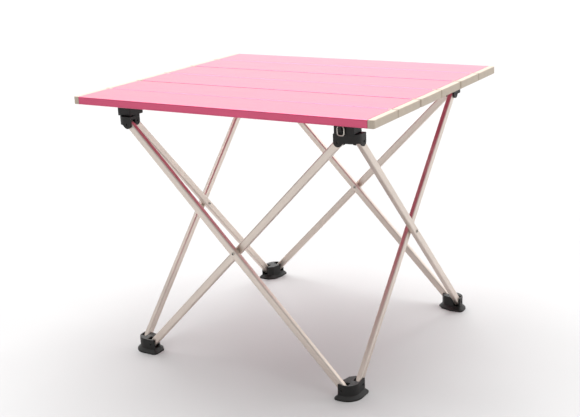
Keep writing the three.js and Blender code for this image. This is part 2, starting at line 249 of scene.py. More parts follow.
@contextmanager
def editing(obj: Piece) -> Iterator[None]:
    """Holds an object in edit mode, with all of it selected at the start."""
    only(obj)
    bpy.ops.object.mode_set(mode="EDIT")
    bpy.ops.mesh.select_all(action="SELECT")
    yield
    bpy.ops.object.mode_set(mode="OBJECT")


def unpick(obj: Piece, kind: str) -> None:
    """Sets an object to pick its faces or its edges, with none of them picked."""
    only(obj)
    bpy.ops.object.mode_set(mode="EDIT")
    bpy.ops.mesh.select_mode(type=kind)
    bpy.ops.mesh.select_all(action="DESELECT")
    bpy.ops.object.mode_set(mode="OBJECT")


def pick_faces(obj: Piece, test: Callable[[Vector, Vector], bool]) -> None:
    """Opens an object in edit mode with some of its faces selected.

    Args:
        obj: The object.
        test: Says of a face's middle and normal whether it is one of them.
    """
    unpick(obj, "FACE")
    for face in obj.data.polygons:
        face.select = test(face.center, face.normal)
    bpy.ops.object.mode_set(mode="EDIT")


def pick_edges(obj: Piece, test: Callable[[Vector, Vector], bool]) -> None:
    """Opens an object in edit mode with some of its edges selected.

    Args:
        obj: The object.
        test: Says of an edge's middle and direction whether it is one of them.
    """
    unpick(obj, "EDGE")
    points = obj.data.vertices
    for edge in obj.data.edges:
        a, b = (points[i].co for i in edge.vertices)
        edge.select = test((a + b) / 2, (b - a).normalized())
    bpy.ops.object.mode_set(mode="EDIT")


def round_picked(radius: float, segments: int) -> None:
    """Rounds the picked edges, with a number of flats, and leaves edit mode."""
    bpy.ops.mesh.bevel(
        offset=radius, segments=segments, profile=0.5, affect="EDGES", clamp_overlap=False
    )
    bpy.ops.object.mode_set(mode="OBJECT")


def trim(obj: Piece, point: Sequence[float], normal: Sequence[float]) -> None:
    """Cuts away what lies past a plane, on the side of its normal, and closes the cut."""
    with editing(obj):
        bpy.ops.mesh.bisect(plane_co=point, plane_no=normal, use_fill=True, clear_outer=True)


def combine(obj: Piece, other: Piece, how: str = "DIFFERENCE") -> None:
    """Cuts, joins or keeps one object by another, which is used up.

    Args:
        obj: The object that is changed.
        other: The object that changes it.
        how: DIFFERENCE, UNION or INTERSECT.
    """
    modifier = obj.modifiers.new("combine", "BOOLEAN")
    modifier.operation = how
    modifier.object = other
    modifier.solver = "EXACT"
    only(obj)
    bpy.ops.object.modifier_apply(modifier=modifier.name)
    bpy.data.objects.remove(other, do_unlink=True)


def clean(obj: Piece, join_flat: bool = False) -> None:
    """Merges an object's doubled points and points its faces outwards.

    Args:
        obj: The object.
        join_flat: True to join the faces that lie in one plane as well.
    """
    with editing(obj):
        bpy.ops.mesh.remove_doubles(threshold=WELD)
        if join_flat:
            bpy.ops.mesh.dissolve_limited(angle_limit=FLAT)
        bpy.ops.mesh.normals_make_consistent(inside=False)


def soften(obj: Piece, radius: float, segments: int = 2) -> Piece:
    """Cleans a shaped object, breaks its sharp edges and shades it.

    Args:
        obj: The object.
        radius: The radius left on each sharp edge.
        segments: How many flats each one has.

    Returns:
        The same object.
    """
    clean(obj, join_flat=True)
    bevel = obj.modifiers.new("soften", "BEVEL")
    bevel.width = radius
    bevel.segments = segments
    bevel.limit_method = "ANGLE"
    bevel.angle_limit = SHARP
    bpy.ops.object.modifier_apply(modifier=bevel.name)
    bpy.ops.object.shade_smooth_by_angle(angle=CREASE)
    weighted = obj.modifiers.new("weighted", "WEIGHTED_NORMAL")
    weighted.keep_sharp = True
    bpy.ops.object.modifier_apply(modifier=weighted.name)
    return obj


def keep_own_place(obj: Piece) -> None:
    """Writes each point's place into the mesh, for a pattern that turns with the piece."""
    own = obj.data.attributes.new("own_place", "FLOAT_VECTOR", "POINT")
    own.data.foreach_set("vector", [x for point in obj.data.vertices for x in point.co])


def placed_copy(model: Piece, name: str, place: Matrix) -> Piece:
    """A copy of a piece, with a mesh of its own, moved into place.

    Args:
        model: The piece that is copied.
        name: The copy's name.
        place: Where the copy goes.

    Returns:
        The copy, with its place in its mesh.
    """
    made = model.copy()
    made.data = model.data.copy()
    made.name = name
    bpy.context.scene.collection.objects.link(made)
    made.matrix_world = place
    return settle(made)


def discard(*objects: Piece) -> None:
    """Removes models that were only there to be copied."""
    for obj in objects:
        bpy.data.objects.remove(obj, do_unlink=True)


# ---------------------------------------------------------------- finishes


class Graph:
    """The nodes of a material or a world, with short ways to add and join them."""

    def __init__(self, owner: bpy.types.Material | bpy.types.World) -> None:
        """Starts from the shader that the material or world comes with.

        Args:
            owner: The material or world.
        """
        owner.use_nodes = True
        self.owner = owner
        self.tree = owner.node_tree
        self.output = next(n for n in self.tree.nodes if n.type.startswith("OUTPUT"))
        self.shader = self.output.inputs["Surface"].links[0].from_node

    def node(self, kind: str, inputs: dict | None = None, **settings: object) -> bpy.types.Node:
        """Adds a node.

        Args:
            kind: The node's type.
            inputs: A value or another node's output for each named input.
            **settings: The node's own settings.

        Returns:
            The new node.
        """
        made = self.tree.nodes.new(kind)
        for key, value in settings.items():
            setattr(made, key, value)
        self.feed(made, inputs or {})
        return made

    def feed(self, node: bpy.types.Node, inputs: dict) -> None:
        """Sets a node's inputs.

        Args:
            node: The node.
            inputs: A value or another node's output for each named input.
        """
        for key, value in inputs.items():
            if isinstance(value, Socket):
                self.tree.links.new(value, node.inputs[key])
            else:
                node.inputs[key].default_value = value

    def place(self, scale: Triple, own: bool = False) -> Socket:
        """A pattern's coordinates.

        Args:
            scale: How often the pattern repeats in a metre, along each axis.
            own: True for the place that the piece was shaped in, before it was turned.

        Returns:
            The coordinates' output.
        """
        if own:
            where = self.node("ShaderNodeAttribute", attribute_name="own_place").outputs["Vector"]
        else:
            where = self.node("ShaderNodeTexCoord").outputs["Object"]
        return self.node("ShaderNodeMapping", {"Vector": where, "Scale": scale}).outputs["Vector"]

    def noise(self, place: Socket, detail: float) -> Socket:
        """A cloudy pattern from 0 to 1."""
        inputs = {"Vector": place, "Scale": 1.0, "Detail": detail, "Roughness": 0.6}
        return self.node("ShaderNodeTexNoise", inputs).outputs["Fac"]

    def math(self, how: str, first: Socket, second: Socket | float) -> Socket:
        """Two patterns, or a pattern and a number, joined by a sum or the like."""
        return self.node("ShaderNodeMath", {0: first, 1: second}, operation=how).outputs[0]

    def between(self, share: Socket, low: float, high: float) -> Socket:
        """A value from low to high that follows a pattern from 0 to 1."""
        inputs = {"Value": share, "From Min": 0.3, "From Max": 0.7, "To Min": low, "To Max": high}
        return self.node("ShaderNodeMapRange", inputs).outputs["Result"]

    def tint(self, share: Socket, low: Triple, high: Triple) -> Socket:
        """A colour from low to high that follows a pattern from 0 to 1.

        Args:
            share: The pattern.
            low: The colour where it is low.
            high: The colour where it is high.

        Returns:
            The colour's output.
        """
        made = self.node("ShaderNodeValToRGB", {"Fac": share})
        first, last = made.color_ramp.elements
        first.position, first.color = 0.3, (*low, 1)
        last.position, last.color = 0.7, (*high, 1)
        return made.outputs["Color"]

    def relief(self, height: Socket, strength: float, depth: float) -> Socket:
        """A normal for small relief of a depth, that shows by a strength from 0 to 1."""
        inputs = {"Height": height, "Strength": strength, "Distance": depth}
        return self.node("ShaderNodeBump", inputs).outputs["Normal"]


@dataclass(frozen=True)
class Finish:
    """What a piece is made of and how its surface is treated.

    Attributes:
        slot: The record's name for the finish.
        dark: The darker of its two tones.
        light: The lighter of them.
    """

    slot: str
    dark: Triple
    light: Triple

    def graph(self) -> Graph:
        """The nodes of a new material for the finish."""
        return Graph(bpy.data.materials.new(self.slot))

    def material(self) -> bpy.types.Material:
        """The finish as a material."""
        raise NotImplementedError


@dataclass(frozen=True)
class Anodised(Finish):
    """Anodised aluminium, darker in the lines along the extrusion and faintly cloudy.

    Attributes:
        roughness: The least and the most roughness.
        coat: How much clear sealed layer lies over the colour.
        own: True where the lines follow the place that the piece was shaped in.
    """

    roughness: tuple[float, float]
    coat: float = 0.0
    own: bool = False

    @cache
    def material(self) -> bpy.types.Material:
        """The finish as a material."""
        graph = self.graph()
        lines = graph.noise(graph.place((14, 1700, 1700), self.own), detail=4)
        clouds = graph.noise(graph.place((18, 30, 30), self.own), detail=2)
        share = graph.math("MULTIPLY", graph.math("ADD", lines, clouds), 0.5)
        graph.shader.inputs["Metallic"].default_value = 1.0
        graph.shader.inputs["Coat Weight"].default_value = self.coat
        graph.shader.inputs["Coat Roughness"].default_value = 0.25
        looks = {
            "Base Color": graph.tint(share, self.dark, self.light),
            "Roughness": graph.between(share, *self.roughness),
            "Normal": graph.relief(lines, strength=0.12, depth=0.05 * MM),
        }
        graph.feed(graph.shader, looks)
        return graph.owner


@dataclass(frozen=True)
class Moulded(Finish):
    """Moulded plastic with a fine spark-eroded grain, lighter where it is rubbed.

    Attributes:
        roughness: The least and the most roughness.
        grain: How often the grain repeats in a metre.
    """

    roughness: tuple[float, float]
    grain: float = 2600

    @cache
    def material(self) -> bpy.types.Material:
        """The finish as a material."""
        graph = self.graph()
        grain = graph.noise(graph.place((self.grain,) * 3), detail=2)
        rubbed = graph.noise(graph.place((90, 90, 90)), detail=4)
        graph.shader.inputs["Specular IOR Level"].default_value = 0.35
        looks = {
            "Base Color": graph.tint(rubbed, self.dark, self.light),
            "Roughness": graph.between(rubbed, *self.roughness),
            "Normal": graph.relief(grain, strength=0.25, depth=0.06 * MM),
        }
        graph.feed(graph.shader, looks)
        return graph.owner


@dataclass(frozen=True)
class Steel(Finish):
    """Plain drawn steel for pins, rivets, screws and wire, darker in the draw marks."""

    @cache
    def material(self) -> bpy.types.Material:
        """The finish as a material."""
        graph = self.graph()
        marks = graph.noise(graph.place((900, 900, 900)), detail=5)
        graph.shader.inputs["Metallic"].default_value = 1.0
        looks = {
            "Base Color": graph.tint(marks, self.dark, self.light),
            "Roughness": graph.between(marks, 0.22, 0.4),
            "Normal": graph.relief(marks, strength=0.15, depth=0.03 * MM),
        }
        graph.feed(graph.shader, looks)
        return graph.owner


@dataclass(frozen=True)
class Braid(Finish):
    """The woven cover of an elastic cord, with painted shade that darkens it between the strands.

    Attributes:
        strands: How many strands there are in a metre.
    """

    strands: float = 900

    @cache
    def material(self) -> bpy.types.Material:
        """The finish as a material."""
        graph = self.graph()
        waves = []
        for lean in (1, -1):
            place = graph.place((self.strands * lean, self.strands, self.strands), own=True)
            inputs = {"Vector": place, "Scale": 0.3, "Distortion": 0.4}
            wave = graph.node("ShaderNodeTexWave", inputs, bands_direction="DIAGONAL")
            waves.append(wave.outputs["Fac"])
        weave = graph.math("MAXIMUM", *waves)
        graph.shader.inputs["Roughness"].default_value = 0.85
        looks = {
            # the darker tone between the strands is painted shade in the gaps of the weave
            "Base Color": graph.tint(weave, self.dark, self.light),
            "Normal": graph.relief(weave, strength=0.6, depth=0.15 * MM),
        }
        graph.feed(graph.shader, looks)
        return graph.owner


PINK = Anodised("pink_anodised", (0.57, 0.080, 0.165), (0.67, 0.102, 0.20), (0.27, 0.38), 0.45)
CHAMPAGNE = Anodised(
    "champagne_aluminium", (0.66, 0.58, 0.52), (0.78, 0.69, 0.62), (0.34, 0.46), own=True
)
BLACK = Moulded("black_plastic", (0.008, 0.0078, 0.0075), (0.017, 0.016, 0.015), (0.42, 0.6))
CREAM = Moulded("cream_plastic", (0.51, 0.43, 0.345), (0.57, 0.485, 0.395), (0.42, 0.58), 1800)
STEEL = Steel("bright_steel", (0.42, 0.38, 0.34), (0.62, 0.58, 0.53))
BLACKENED = Steel("blackened_steel", (0.03, 0.028, 0.026), (0.07, 0.066, 0.06))
# the cord's darker tone is painted shade between the strands, and the lighter one is its own cream
ELASTIC = Braid("cream_elastic", (0.45, 0.40, 0.33), (0.80, 0.75, 0.66))


def dress(obj: Piece, finish: Finish) -> None:
    """Gives a piece one finish and no other."""
    obj.data.materials.clear()
    obj.data.materials.append(finish.material())


def hand_over(obj: Piece, finish: Finish, body: str, *nodes: str) -> None:
    """Gives a finished piece its finish and its body.

    Args:
        obj: The piece.
        finish: Its finish.
        body: The CAD body that it moves with.
        *nodes: The CAD nodes that it stands for.
    """
    dress(obj, finish)
    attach(obj, body)
    if nodes:
        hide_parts(*nodes)
    log.info("%s on %s: %d faces", obj.name, body, len(obj.data.polygons))


# ---------------------------------------------------------------- the top


@dataclass
class Section:
    """One of the three folding sections of the top.

    Attributes:
        name: front, middle or back.
        slats: The CAD nodes of its two slats, front one first.
        joined_front: True where another section lies in front of it.
        joined_back: True where another section lies behind it.
        edge_radius: The radius on a slat's long edges.
        wall: The wall of a slat.
        pocket: How deep the hollow in a slat's right-hand end is.
        lip_height: How far the line on a slat's side is above its underside.
        lip_width: How wide that line is.
        lip_depth: How deep it is.
        slat_edge: The radius left on a slat's cut edges.
        tab_length: How far a cap's tab reaches into the slats.
        tab_width: Half of a tab's width.
        tab_depth: How thick a tab is.
        tab_drop: How far a tab lies below the top of the slats.
        cap_corner: The radius on a cap's outer corners.
        cap_edge: The radius on a cap's long edges.
        cap_small_edge: The radius on its other edges.
        groove: How deep the grooves in a cap are.
        cord_hole: The radius of the hole for the elastic cord.
        cord_stop: The plastic left at the closed end of that hole.
        gap: The space round a tongue or a tab.
        tongue_short: How far a tongue stops before the depth of that hollow.
        tongue_root: How far it reaches into the cap.
    """

    name: str
    slats: tuple[str, str]
    joined_front: bool
    joined_back: bool
    edge_radius: float = 1.1 * MM
    wall: float = 1.2 * MM
    pocket: float = 16 * MM
    lip_height: float = 1.3 * MM
    lip_width: float = 0.5 * MM
    lip_depth: float = 0.25 * MM
    slat_edge: float = 0.12 * MM
    tab_length: float = 4.0 * MM
    tab_width: float = 1.6 * MM
    tab_depth: float = 1.0 * MM
    tab_drop: float = 0.05 * MM
    cap_corner: float = 2.2 * MM
    cap_edge: float = 0.8 * MM
    cap_small_edge: float = 0.15 * MM
    groove: float = 1.5 * MM
    cord_hole: float = 1.6 * MM
    cord_stop: float = 24 * MM
    gap: float = 0.15 * MM
    tongue_short: float = 2 * MM
    tongue_root: float = 2 * MM

    @property
    def body(self) -> str:
        """The CAD body of the section."""
        return f"top_{self.name}"

    def tab(self, side: int, y: float, reach: float, grow: float = 0) -> Piece:
        """A cap's tab, or with room round it the notch that it lies in.

        Args:
            side: 1 for the right-hand end and -1 for the left-hand end.
            y: The seam that it lies on.
            reach: How far along X the slats end.
            grow: The room round it.

        Returns:
            The tab as a block.
        """
        top = Box.of(self.slats[0]).hi.z
        half = self.tab_width + grow
        lift = MM if grow else -self.tab_drop
        return block(
            "tab",
            (side * (reach - self.tab_length - grow), y - half, top - self.tab_depth - grow),
            (side * (reach + self.gap + grow), y + half, top + lift),
        )

    def seams(self) -> list[float]:
        """Where along Y the section's caps have tabs."""
        front, back = (Box.of(slat) for slat in self.slats)
        found = [(front.hi.y + back.lo.y) / 2]
        if self.joined_front:
            found.append(front.lo.y)
        if self.joined_back:
            found.append(back.hi.y)
        return found

    def build_slat(self, node: str) -> None:
        """Shapes one slat.

        Args:
            node: The CAD node that it stands for.
        """
        lo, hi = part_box(node)
        slat = block(f"{node}_extrusion", lo, hi)
        pick_edges(slat, lambda mid, way: abs(way.x) > ALONG)
        round_picked(self.edge_radius, 4)
        line = lo.z + self.lip_height
        for side, y in ((-1, lo.y), (1, hi.y)):
            start = (lo.x - MM, y - side * self.lip_depth, line)
            combine(slat, block("line", start, (hi.x + MM, y + side * MM, line + self.lip_width)))
            # Only the right-hand end is hollowed. Caps cover both ends.
            if side > 0:
                start = (hi.x - self.pocket, lo.y + self.wall, lo.z + self.wall)
                end = (hi.x + MM, hi.y - self.wall, hi.z - self.wall)
                combine(slat, block("hollow", start, end))
            for seam in self.seams():
                combine(slat, self.tab(side, seam, hi.x, self.gap))
        soften(slat, self.slat_edge, 1)
        hand_over(slat, PINK, self.body, node)

    def groove_cap(self, cap: Piece, box: Box, outside: float) -> None:
        """Cuts a V in line with the slat seam, down a cap's side and across its top.

        Args:
            cap: The cap.
            box: Its box.
            outside: Where along X its outer side is.
        """
        half = self.groove / math.sqrt(2)
        tall, wide = box.size.z, box.size.x
        for size, axis, at in (
            (Vector((half, half, tall)), "Z", Vector((outside, box.mid.y, box.mid.z))),
            (Vector((wide, half, half)), "X", Vector((outside, box.mid.y, box.hi.z))),
        ):
            wedge = block("wedge", -size, size)
            wedge.matrix_world = Matrix.Translation(at) @ Matrix.Rotation(math.pi / 4, 4, axis)
            combine(cap, settle(wedge))

    def bore_cap(self, cap: Piece, box: Box, x: float) -> None:
        """Bores a cap for the elastic cord, from each end that meets another section.

        Args:
            cap: The cap.
            box: Its box.
            x: Where along X the bore is.
        """
        start = box.lo.y + (-MM if self.joined_front else self.cord_stop)
        end = box.hi.y + (MM if self.joined_back else -self.cord_stop)
        combine(cap, rod("bore", (x, start, box.mid.z), (x, end, box.mid.z), self.cord_hole))

    def build_cap(self, side: int) -> None:
        """Shapes the cap of one end.

        Args:
            side: 1 for the right-hand end and -1 for the left-hand end.
        """
        hand = "right" if side > 0 else "left"
        node = f"end_cap_{hand}_{self.name}"
        box = Box.of(node)
        slats = [Box.of(slat) for slat in self.slats]
        reach = slats[0].hi.x
        outside = side * max(abs(box.lo.x), abs(box.hi.x))
        inside = side * (reach + 2 * self.gap)
        cap = block(
            f"{node}_moulding", (outside, box.lo.y, box.lo.z), (inside, box.hi.y, box.hi.z)
        )
        pick_edges(cap, lambda mid, way: abs(way.z) > ALONG and abs(mid.x - outside) < NEAR)
        round_picked(self.cap_corner, 6)
        pick_edges(cap, lambda mid, way: abs(way.z) < 1 - ALONG and abs(mid.x) > reach + MM)
        round_picked(self.cap_edge, 3)
        self.groove_cap(cap, box, outside)
        self.bore_cap(cap, box, (outside + inside) / 2)
        room = self.wall + 2 * self.gap
        start = side * (reach - self.pocket + self.tongue_short)
        end = side * (reach + self.tongue_root)
        for slat in slats:
            tongue = block(
                "tongue",
                (start, slat.lo.y + room, slat.lo.z + room),
                (end, slat.hi.y - room, slat.hi.z - room),
            )
            combine(cap, tongue, "UNION")
        for seam in self.seams():
            combine(cap, self.tab(side, seam, reach), "UNION")
        if self.joined_front:
            trim(cap, (0, box.lo.y, 0), (0, -1, 0))
        if self.joined_back:
            trim(cap, (0, box.hi.y, 0), (0, 1, 0))
        soften(cap, self.cap_small_edge)
        hand_over(cap, CREAM, self.body, node)

    def build(self) -> None:
        """Builds both slats and both caps."""
        for node in self.slats:
            self.build_slat(node)
        for side in (-1, 1):
            self.build_cap(side)


@dataclass
class ElasticCord:
    """The elastic cord at one end of the top, where it shows between the sections.

    Attributes:
        hand: right or left.
        radius: The cord's radius.
        sides: How many flats its round has.
        hidden: How far each stretch reaches into the caps.
        rings: How many rings of points each stretch has where it bends.
    """

    hand: str
    radius: float = 1.2 * MM
    sides: int = 16
    hidden: float = 12 * MM
    rings: int = 24

    def stretch(self, section: str, start: Vector, end: Vector) -> None:
        """Builds the stretch across one seam, which bends as the section folds.

        Args:
            section: The section that folds.
            start: Where the cord leaves the middle cap.
            end: Where it enters the cap of that section.
        """
        past = (end - start).normalized() * self.hidden
        name = f"elastic_cord_{self.hand}_{section}"
        cord = rod(name, start - past, end + past, self.radius, self.sides)
        for step in range(self.rings + 1):
            with editing(cord):
                at = (0, start.y + (end.y - start.y) * step / self.rings, 0)
                bpy.ops.mesh.bisect(plane_co=at, plane_no=(0, 1, 0))
        bpy.ops.object.shade_smooth_by_angle(angle=ROUND_CREASE)
        keep_own_place(cord)
        dress(cord, ELASTIC)
        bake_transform(cord)
        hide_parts(f"elastic_cord_{self.hand}")
        log.info("%s bends between the sections", cord.name)

    def build(self) -> None:
        """Builds the stretches across both seams."""
        line = Box.of(f"elastic_cord_{self.hand}").mid
        middle, front, back = (
            Box.of(f"end_cap_{self.hand}_{section}") for section in ("middle", "front", "back")
        )
        for section, start, end in (
            ("front", middle.lo.y, front.hi.y),
            ("back", middle.hi.y, back.lo.y),
        ):
            self.stretch(section, *(Vector((line.x, y, line.z)) for y in (start, end)))


# ---------------------------------------------------------------- the scissor frame


@dataclass
class Legs:
    """The eight flat-tube legs and the rivets where they cross.

    Attributes:
        middle: The middle of the frame on the floor.
        width: A leg's width in the plane of its panel.
        wall: The wall of the tube.
        corner: The radius on the tube's four long edges.
        edge: The radius on its cut edges.
        pin_hole: The radius of the holes for the pins and rivets.
        rivet_slack: How much thinner a crossing rivet is than its hole.
        rivet_head: The radius of its head.
        rivet_lift: How far the head stands off the leg.
        rivet_edge: The radius on its edges.
        rivet_bore: The radius of the hollow in its end.
        rivet_bore_depth: How far the hollow reaches below the leg's surface.
        rivet_bore_past: How many times as far as the tip its drill reaches.
        spacer: The radius of the collar between two legs.
        touch: The space left between pieces that rest on each other.
    """

    middle: Vector
    width: float = 9.4 * MM
    wall: float = 1.0 * MM
    corner: float = 2.0 * MM
    edge: float = 0.2 * MM
    pin_hole: float = 1.5 * MM
    rivet_slack: float = 0.2 * MM
    rivet_head: float = 2.1 * MM
    rivet_lift: float = 0.4 * MM
    rivet_edge: float = 0.12 * MM
    rivet_bore: float = 1.05 * MM
    rivet_bore_depth: float = 2.2 * MM
    rivet_bore_past: float = 1.2
    spacer: float = 3.6 * MM
    touch: float = 0.15 * MM

    def tube(self, name: str, inset: float, half_run: float, half: float) -> Piece:
        """A straight bar with rounded long edges, along X round the origin.

        Args:
            name: The bar's name.
            inset: How far it is inside the leg's outer surface.
            half_run: Half of its length.
            half: Half of the leg's thickness.

        Returns:
            The bar.
        """
        size = Vector((half_run, half - inset, self.width / 2 - inset))
        bar = block(name, -size, size)
        pick_edges(bar, lambda mid, way: abs(way.x) > ALONG)
        round_picked(self.corner - inset, 5)
        return bar

    def shape_leg(self, pin_to_pin: float, thickness: float) -> Piece:
        """One leg along X, with its crossing hole at the origin.

        Args:
            pin_to_pin: The distance between its end holes.
            thickness: The leg's thickness across its panel.

        Returns:
            The leg.
        """
        half = thickness / 2
        half_run = (pin_to_pin + self.width) / 2
        leg = self.tube("leg_model", 0, half_run, half)
        ends = Vector((half_run, half + MM, self.width / 2))
        rounded = block("rounded", -ends, ends)
        pick_edges(rounded, lambda mid, way: abs(way.y) > ALONG)
        round_picked(self.width / 2 - NEAR / 10, 10)
        combine(leg, rounded, "INTERSECT")
        combine(leg, self.tube("hollow", self.wall, half_run + MM, half))
        for x in (-pin_to_pin / 2, 0, pin_to_pin / 2):
            hole = rod("hole", (x, -half - MM, 0), (x, half + MM, 0), self.pin_hole, 20)
            combine(leg, hole)
        soften(leg, self.edge)
        keep_own_place(leg)
        return leg

    def shape_rivet(self, thickness: float, apart: float) -> Piece:
        """A crossing rivet along Y, its collar round the origin.

        Args:
            thickness: The thickness of a leg.
            apart: The distance between the middles of the two legs.

        Returns:
            The rivet.
        """
        face = (apart + thickness) / 2 + self.touch
        tip = face + self.rivet_lift
        collar = (apart - thickness) / 2 - self.touch

        def turned(name: str, start: float, end: float, radius: float, sides: int) -> Piece:
            """A round part of the rivet, from one place on its axis to another."""
            return rod(name, (0, start, 0), (0, end, 0), radius, sides)

        rivet = turned("rivet_model", -tip, tip, self.pin_hole - self.rivet_slack, 20)
        for side in (-1, 1):
            head = turned("head", side * face, side * tip, self.rivet_head, 24)
            combine(rivet, head, "UNION")
        combine(rivet, turned("collar", -collar, collar, self.spacer, 24), "UNION")
        for side in (-1, 1):
            deep = side * (face - self.rivet_bore_depth)
            past = side * tip * self.rivet_bore_past
            combine(rivet, turned("hollow", deep, past, self.rivet_bore, 20))
        return soften(rivet, self.rivet_edge)

    def build(self) -> None:
        """Builds the legs and rivets of all four panels."""
        outer = Box.of("leg_front_outer", self.middle)
        inner = Box.of("leg_front_inner", self.middle)
        thickness = outer.size.y
        cross = joint_point("front_cross", self.middle)
        run = joint_point("frame_fold", self.middle) - cross
        slope = math.atan2(-run.z, run.x)
        leg = self.shape_leg(2 * math.hypot(run.x, run.z), thickness)
        rivet = self.shape_rivet(thickness, abs(outer.mid.y - inner.mid.y))
        for panel in Panel:
            turn = panel.turn(self.middle)
            for kind, box, lean in (("outer", outer, slope), ("inner", inner, -slope)):
                at = Matrix.Translation((0, box.mid.y, cross.z)) @ Matrix.Rotation(lean, 4, "Y")
                node = f"leg_{panel.label}_{kind}"
                hand_over(placed_copy(leg, f"{node}_tube", turn @ at), CHAMPAGNE, node, node)
            at = Matrix.Translation((0, cross.y, cross.z))
            node = f"cross_rivet_{panel.label}"
            made = placed_copy(rivet, f"{node}_hollow", turn @ at)
            hand_over(made, STEEL, f"leg_{panel.label}_outer", node)
        discard(leg, rivet)


@dataclass
class CornerMouldings:
    """The hubs and feet of the four corners, with their pins.

    Attributes:
        middle: The middle of the frame on the floor.
        slot_room: The space on each side of a leg in its slot.
        slot_past: How far the slots are cut past the inner ends of the arms.
        wall: The plastic on each side of a slot.
        edge: The radius on a moulding's small edges.
        pin_hole: The radius of the holes for the pins.
        drill_past: How far the drill for them reaches past the walls.
        hub_corner: The radius on a hub's outer corner.
        arch: How far a hub's underside is above the bottom of its lobes.
        lap: How far one block of a hub reaches into the next.
        swing: The space round the rounded end of a leg.
        foot_corner: The radius on a foot's outer corner.
        flange: How far a foot's flange reaches outside its walls.
        flange_height: The flange's own thickness.
        flare: The height of the slope above it.
        knee: How far a foot's inner corner lies inside the pins, along X and Y.
        knee_ways: The ways that the two walls at that corner face.
        slot_floor: The height of the bottom of a foot's slots.
        slot_end_wall: The plastic between a foot slot's far corner and the rounded outside.
    """

    middle: Vector
    slot_room: float = 0.3 * MM
    slot_past: float = 2 * MM
    wall: float = 2.0 * MM
    edge: float = 0.35 * MM
    pin_hole: float = 1.5 * MM
    drill_past: float = 1.5 * MM
    hub_corner: float = 11 * MM
    arch: float = 4.5 * MM
    lap: float = 0.5 * MM
    swing: float = 0.8 * MM
    foot_corner: float = 14 * MM
    flange: float = 4 * MM
    flange_height: float = 1.6 * MM
    flare: float = 3.4 * MM
    knee: tuple[float, float] = (2.5 * MM, 6.0 * MM)
    knee_ways: tuple[tuple[float, float], ...] = ((-6.1, -5.3), (-3.0, -12.2))
    slot_floor: float = 6.0 * MM
    slot_end_wall: float = 0.9 * MM

    def __post_init__(self) -> None:
        """Reads the places of the back right corner from the frame."""
        self.hub = Box.of("hub_back_right", self.middle)
        self.foot = Box.of("foot_back_right", self.middle)
        self.hub_pin = joint_point("hub_back_right_turn", self.middle)
        self.foot_pin = joint_point("foot_back_right_turn", self.middle)
        leg = Box.of("leg_right_outer", self.middle)
        self.inner_plane = self.hub_pin.x
        self.outer_plane = self.foot_pin.x
        self.slot_half = leg.size.x / 2 + self.slot_room
        self.arm_half = self.slot_half + self.wall
        self.leg_end = Legs.width / 2 + self.swing
        self.arm_end = self.hub.lo.x

    def cut_legs_in(
        self, obj: Piece, planes: tuple[float, float], reach: float, low: float, high: float
    ) -> None:
        """Cuts a slot for the leg of each panel that meets at the corner.

        Args:
            obj: The moulding.
            planes: Where the leg along Y and the leg along X lie.
            reach: How far towards the corner both slots run.
            low: The slots' lowest point.
            high: Their highest point.
        """
        start = self.arm_end - self.flange - self.slot_past
        across, along = planes
        half = self.slot_half
        combine(obj, block("slot", (across - half, start, low), (across + half, reach, high)))
        combine(obj, block("slot", (start, along - half, low), (reach, along + half, high)))

    def drill_pins(self, obj: Piece, planes: tuple[float, float], pin: float, z: float) -> None:
        """Drills the pin holes of both slots.

        Args:
            obj: The moulding.
            planes: Where the leg along Y and the leg along X lie.
            pin: How far the pins are from the middle of the frame.
            z: Their height.
        """
        reach = self.arm_half + self.drill_past
        across, along = planes
        for start, end in (
            ((across - reach, pin, z), (across + reach, pin, z)),
            ((pin, along - reach, z), (pin, along + reach, z)),
        ):
            combine(obj, rod("hole", start, end, self.pin_hole, 20))

    def add_lobe(self, hub: Piece, axis: int, plane: float, under: float) -> None:
        """Adds the round lobe of one arm, and the slope from it up to the arch.

        Args:
            hub: The hub.
            axis: 0 where the pin lies along X and 1 where it lies along Y.
            plane: Where along that axis the arm's leg is.
            under: The height of the arch.
        """
        pin, lobe = self.hub_pin, self.hub_pin.z - self.hub.lo.z
        lobe_end = lobe * math.sqrt(0.5)
        slope = under - pin.z + lobe_end
        near, far = plane - self.arm_half, plane + self.arm_half
        roof = under + self.lap

        def at(across: float, along: float, z: float) -> Vector:
            """A point from its place across the arm, along it and its height."""
            return Vector((across, along, z)) if axis == 0 else Vector((along, across, z))

        cheek = block(
            "cheek", at(near, pin.y, pin.z - lobe_end), at(far, pin.y + lobe_end + slope, roof)
        )
        trim(cheek, at(plane, pin.y + lobe_end, pin.z - lobe_end), at(0, 1, -1).normalized())
        combine(hub, cheek, "UNION")
        side = block("side", at(near, self.arm_end, pin.z), at(far, pin.y + self.lap, roof))
        combine(hub, side, "UNION")
        combine(hub, rod("lobe", at(near, pin.y, pin.z), at(far, pin.y, pin.z), lobe, 40), "UNION")

    def shape_hub(self) -> Piece:
        """The hub of the back right corner.

        Returns:
            The hub.
        """
        lo, hi, mid = self.hub.lo, self.hub.hi, self.hub.mid
        under = lo.z + self.arch
        hub = block("hub_model", (lo.x, lo.y, under), hi)
        pick_edges(hub, lambda at, way: abs(way.z) > ALONG and at.x > mid.x and at.y > mid.y)
        round_picked(self.hub_corner, 12)
        inner_faces = (self.inner_plane - self.arm_half, self.outer_plane - self.arm_half)
        inside = block("inside", (lo.x - MM, lo.y - MM, lo.z - MM), (*inner_faces, hi.z + MM))
        combine(hub, inside)
        planes = (self.inner_plane, self.outer_plane)
        for axis, plane in enumerate(planes):
            self.add_lobe(hub, axis, plane, under)
        clean(hub)
        pin = self.hub_pin
        self.cut_legs_in(hub, planes, pin.y + self.leg_end, lo.z - MM, pin.z + self.leg_end)
        self.drill_pins(hub, planes, pin.y, pin.z)
        return soften(hub, self.edge)

